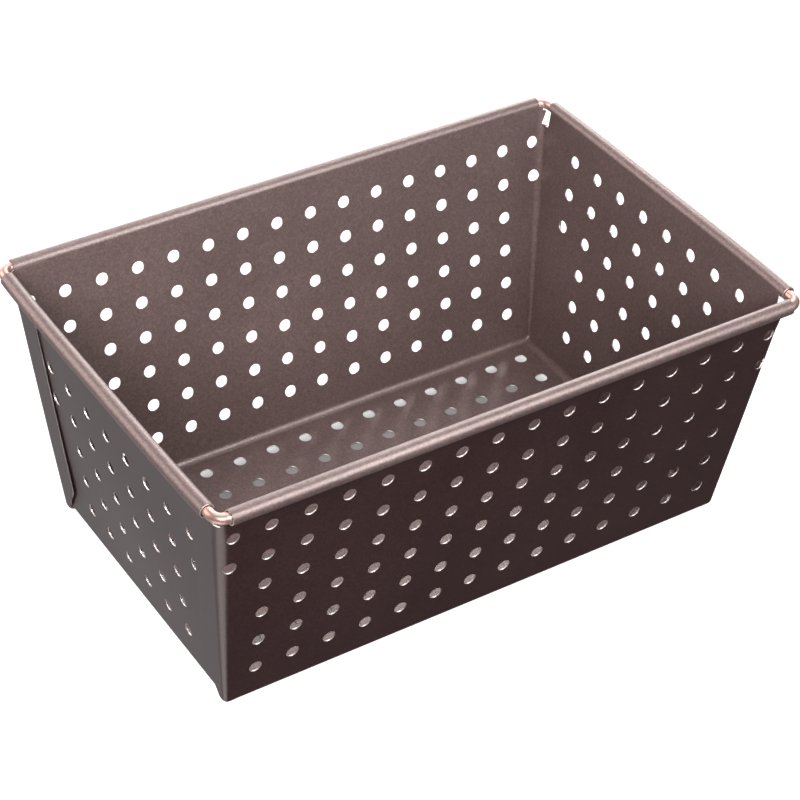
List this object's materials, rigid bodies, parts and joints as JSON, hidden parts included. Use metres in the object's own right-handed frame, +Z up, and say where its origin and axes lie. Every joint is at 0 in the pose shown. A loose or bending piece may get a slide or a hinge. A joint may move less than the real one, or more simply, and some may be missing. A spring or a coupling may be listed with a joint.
{
  "type": "perforated cheese mold",
  "caption": "Open rectangular perforated mould of folded sheet steel with flared walls and wire-rolled rims, for draining and shaping soft food.",
  "frame": {"origin": "on the resting plane, under the middle of the base", "axes": "+X along the length, +Y across to the back wall, +Z up"},
  "size_m": [0.1986, 0.1334, 0.0858],
  "materials": {
    "bronze_coated_steel": "satin metallic non-stick coating, dark bronze brown",
    "copper_wire": "copper-toned bright steel wire"
  },
  "bodies": {
    "root": {"base_panel": "bronze_coated_steel", "back_wall": "bronze_coated_steel", "front_wall": "bronze_coated_steel", "right_end_wall": "bronze_coated_steel", "left_end_wall": "bronze_coated_steel", "back_rim_roll": "bronze_coated_steel", "front_rim_roll": "bronze_coated_steel", "right_end_rim_roll": "bronze_coated_steel", "left_end_rim_roll": "bronze_coated_steel", "back_right_corner_lap": "bronze_coated_steel", "back_left_corner_lap": "bronze_coated_steel", "front_left_corner_lap": "bronze_coated_steel", "front_right_corner_lap": "bronze_coated_steel", "rim_wire": "copper_wire"}
  },
  "joints": []
}
